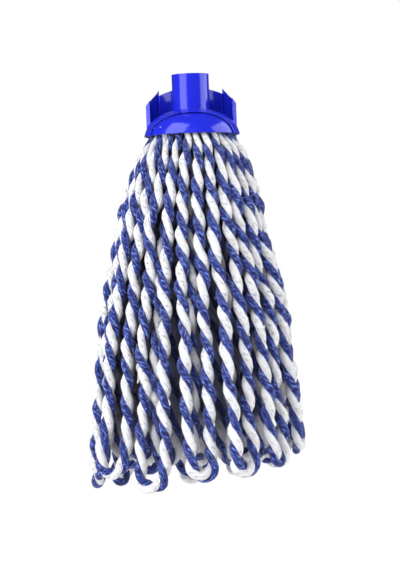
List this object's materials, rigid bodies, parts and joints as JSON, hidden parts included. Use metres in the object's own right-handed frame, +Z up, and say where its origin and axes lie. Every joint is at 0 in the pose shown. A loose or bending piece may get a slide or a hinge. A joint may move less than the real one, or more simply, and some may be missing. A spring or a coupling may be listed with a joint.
{
  "type": "mop head",
  "caption": "Looped-yarn mop head: glossy moulded socket cap with a domed front and raised wings over a skirt of thick two-colour twisted yarn loops",
  "frame": {"origin": "centre of the handle socket's mouth, on the socket axis", "axes": "+Z up along the socket axis and out of its mouth, +X to the right seen from the domed front, -Y towards the domed front"},
  "size_m": [0.1693, 0.1793, 0.326],
  "materials": {
    "blue_plastic": "glossy moulded",
    "yarn": "two-ply twisted blue and white yarn",
    "steel": "zinc plated",
    "white_plastic": "plain moulded"
  },
  "bodies": {
    "head": {"socket_cap": "blue_plastic", "yarn_core": "yarn", "binding_ring": "steel", "clamp_plug": "white_plastic", "plug_washer": "steel", "plug_screw": "steel"},
    "outer_lock_1": {"outer_loop_1": "yarn"},
    "inner_lock_1": {"inner_loop_1": "yarn"},
    "outer_lock_2": {"outer_loop_2": "yarn"},
    "inner_lock_2": {"inner_loop_2": "yarn"},
    "outer_lock_3": {"outer_loop_3": "yarn"},
    "inner_lock_3": {"inner_loop_3": "yarn"},
    "outer_lock_4": {"outer_loop_4": "yarn"},
    "inner_lock_4": {"inner_loop_4": "yarn"},
    "outer_lock_5": {"outer_loop_5": "yarn"},
    "inner_lock_5": {"inner_loop_5": "yarn"},
    "outer_lock_6": {"outer_loop_6": "yarn"},
    "inner_lock_6": {"inner_loop_6": "yarn"},
    "outer_lock_7": {"outer_loop_7": "yarn"},
    "inner_lock_7": {"inner_loop_7": "yarn"},
    "outer_lock_8": {"outer_loop_8": "yarn"},
    "inner_lock_8": {"inner_loop_8": "yarn"},
    "outer_lock_9": {"outer_loop_9": "yarn"},
    "inner_lock_9": {"inner_loop_9": "yarn"},
    "outer_lock_10": {"outer_loop_10": "yarn"},
    "inner_lock_10": {"inner_loop_10": "yarn"},
    "outer_lock_11": {"outer_loop_11": "yarn"},
    "inner_lock_11": {"inner_loop_11": "yarn"},
    "outer_lock_12": {"outer_loop_12": "yarn"},
    "inner_lock_12": {"inner_loop_12": "yarn"},
    "outer_lock_13": {"outer_loop_13": "yarn"},
    "inner_lock_13": {"inner_loop_13": "yarn"},
    "outer_lock_14": {"outer_loop_14": "yarn"},
    "inner_lock_14": {"inner_loop_14": "yarn"}
  },
  "joints": [
    {"name": "outer_swing_1", "type": "hinge", "parent": "head", "child": "outer_lock_1", "pos_m": [0.03276, 0.00748, -0.049], "axis": [0.2225, -0.9749, 0], "range_deg": [0, 45]},
    {"name": "inner_swing_1", "type": "hinge", "parent": "head", "child": "inner_lock_1", "pos_m": [0.02564, 0.00585, -0.049], "axis": [0.2225, -0.9749, 0], "range_deg": [0, 36]},
    {"name": "outer_swing_2", "type": "hinge", "parent": "head", "child": "outer_lock_2", "pos_m": [0.02627, 0.02095, -0.049], "axis": [0.6235, -0.7818, 0], "range_deg": [0, 45]},
    {"name": "inner_swing_2", "type": "hinge", "parent": "head", "child": "inner_lock_2", "pos_m": [0.02056, 0.0164, -0.049], "axis": [0.6235, -0.7818, 0], "range_deg": [0, 36]},
    {"name": "outer_swing_3", "type": "hinge", "parent": "head", "child": "outer_lock_3", "pos_m": [0.01458, 0.03027, -0.049], "axis": [0.901, -0.4339, 0], "range_deg": [0, 45]},
    {"name": "inner_swing_3", "type": "hinge", "parent": "head", "child": "inner_lock_3", "pos_m": [0.01141, 0.0237, -0.049], "axis": [0.901, -0.4339, 0], "range_deg": [0, 36]},
    {"name": "outer_swing_4", "type": "hinge", "parent": "head", "child": "outer_lock_4", "pos_m": [0, 0.0336, -0.049], "axis": [1, 0, 0], "range_deg": [0, 45]},
    {"name": "inner_swing_4", "type": "hinge", "parent": "head", "child": "inner_lock_4", "pos_m": [0, 0.0263, -0.049], "axis": [1, 0, 0], "range_deg": [0, 36]},
    {"name": "outer_swing_5", "type": "hinge", "parent": "head", "child": "outer_lock_5", "pos_m": [-0.01458, 0.03027, -0.049], "axis": [0.901, 0.4339, 0], "range_deg": [0, 45]},
    {"name": "inner_swing_5", "type": "hinge", "parent": "head", "child": "inner_lock_5", "pos_m": [-0.01141, 0.0237, -0.049], "axis": [0.901, 0.4339, 0], "range_deg": [0, 36]},
    {"name": "outer_swing_6", "type": "hinge", "parent": "head", "child": "outer_lock_6", "pos_m": [-0.02627, 0.02095, -0.049], "axis": [0.6235, 0.7818, 0], "range_deg": [0, 45]},
    {"name": "inner_swing_6", "type": "hinge", "parent": "head", "child": "inner_lock_6", "pos_m": [-0.02056, 0.0164, -0.049], "axis": [0.6235, 0.7818, 0], "range_deg": [0, 36]},
    {"name": "outer_swing_7", "type": "hinge", "parent": "head", "child": "outer_lock_7", "pos_m": [-0.03276, 0.00748, -0.049], "axis": [0.2225, 0.9749, 0], "range_deg": [0, 45]},
    {"name": "inner_swing_7", "type": "hinge", "parent": "head", "child": "inner_lock_7", "pos_m": [-0.02564, 0.00585, -0.049], "axis": [0.2225, 0.9749, 0], "range_deg": [0, 36]},
    {"name": "outer_swing_8", "type": "hinge", "parent": "head", "child": "outer_lock_8", "pos_m": [-0.03276, -0.00748, -0.049], "axis": [-0.2225, 0.9749, 0], "range_deg": [0, 45]},
    {"name": "inner_swing_8", "type": "hinge", "parent": "head", "child": "inner_lock_8", "pos_m": [-0.02564, -0.00585, -0.049], "axis": [-0.2225, 0.9749, 0], "range_deg": [0, 36]},
    {"name": "outer_swing_9", "type": "hinge", "parent": "head", "child": "outer_lock_9", "pos_m": [-0.02627, -0.02095, -0.049], "axis": [-0.6235, 0.7818, 0], "range_deg": [0, 45]},
    {"name": "inner_swing_9", "type": "hinge", "parent": "head", "child": "inner_lock_9", "pos_m": [-0.02056, -0.0164, -0.049], "axis": [-0.6235, 0.7818, 0], "range_deg": [0, 36]},
    {"name": "outer_swing_10", "type": "hinge", "parent": "head", "child": "outer_lock_10", "pos_m": [-0.01458, -0.03027, -0.049], "axis": [-0.901, 0.4339, 0], "range_deg": [0, 45]},
    {"name": "inner_swing_10", "type": "hinge", "parent": "head", "child": "inner_lock_10", "pos_m": [-0.01141, -0.0237, -0.049], "axis": [-0.901, 0.4339, 0], "range_deg": [0, 36]},
    {"name": "outer_swing_11", "type": "hinge", "parent": "head", "child": "outer_lock_11", "pos_m": [0, -0.0336, -0.049], "axis": [-1, 0, 0], "range_deg": [0, 45]},
    {"name": "inner_swing_11", "type": "hinge", "parent": "head", "child": "inner_lock_11", "pos_m": [0, -0.0263, -0.049], "axis": [-1, 0, 0], "range_deg": [0, 36]},
    {"name": "outer_swing_12", "type": "hinge", "parent": "head", "child": "outer_lock_12", "pos_m": [0.01458, -0.03027, -0.049], "axis": [-0.901, -0.4339, 0], "range_deg": [0, 45]},
    {"name": "inner_swing_12", "type": "hinge", "parent": "head", "child": "inner_lock_12", "pos_m": [0.01141, -0.0237, -0.049], "axis": [-0.901, -0.4339, 0], "range_deg": [0, 36]},
    {"name": "outer_swing_13", "type": "hinge", "parent": "head", "child": "outer_lock_13", "pos_m": [0.02627, -0.02095, -0.049], "axis": [-0.6235, -0.7818, 0], "range_deg": [0, 45]},
    {"name": "inner_swing_13", "type": "hinge", "parent": "head", "child": "inner_lock_13", "pos_m": [0.02056, -0.0164, -0.049], "axis": [-0.6235, -0.7818, 0], "range_deg": [0, 36]},
    {"name": "outer_swing_14", "type": "hinge", "parent": "head", "child": "outer_lock_14", "pos_m": [0.03276, -0.00748, -0.049], "axis": [-0.2225, -0.9749, 0], "range_deg": [0, 45]},
    {"name": "inner_swing_14", "type": "hinge", "parent": "head", "child": "inner_lock_14", "pos_m": [0.02564, -0.00585, -0.049], "axis": [-0.2225, -0.9749, 0], "range_deg": [0, 36]}
  ],
  "couplings": [
    {"joint": "inner_swing_1", "follows": "outer_swing_1", "ratio": 0.8},
    {"joint": "inner_swing_2", "follows": "outer_swing_2", "ratio": 0.8},
    {"joint": "inner_swing_3", "follows": "outer_swing_3", "ratio": 0.8},
    {"joint": "inner_swing_4", "follows": "outer_swing_4", "ratio": 0.8},
    {"joint": "inner_swing_5", "follows": "outer_swing_5", "ratio": 0.8},
    {"joint": "inner_swing_6", "follows": "outer_swing_6", "ratio": 0.8},
    {"joint": "inner_swing_7", "follows": "outer_swing_7", "ratio": 0.8},
    {"joint": "inner_swing_8", "follows": "outer_swing_8", "ratio": 0.8},
    {"joint": "inner_swing_9", "follows": "outer_swing_9", "ratio": 0.8},
    {"joint": "inner_swing_10", "follows": "outer_swing_10", "ratio": 0.8},
    {"joint": "inner_swing_11", "follows": "outer_swing_11", "ratio": 0.8},
    {"joint": "inner_swing_12", "follows": "outer_swing_12", "ratio": 0.8},
    {"joint": "inner_swing_13", "follows": "outer_swing_13", "ratio": 0.8},
    {"joint": "inner_swing_14", "follows": "outer_swing_14", "ratio": 0.8}
  ]
}
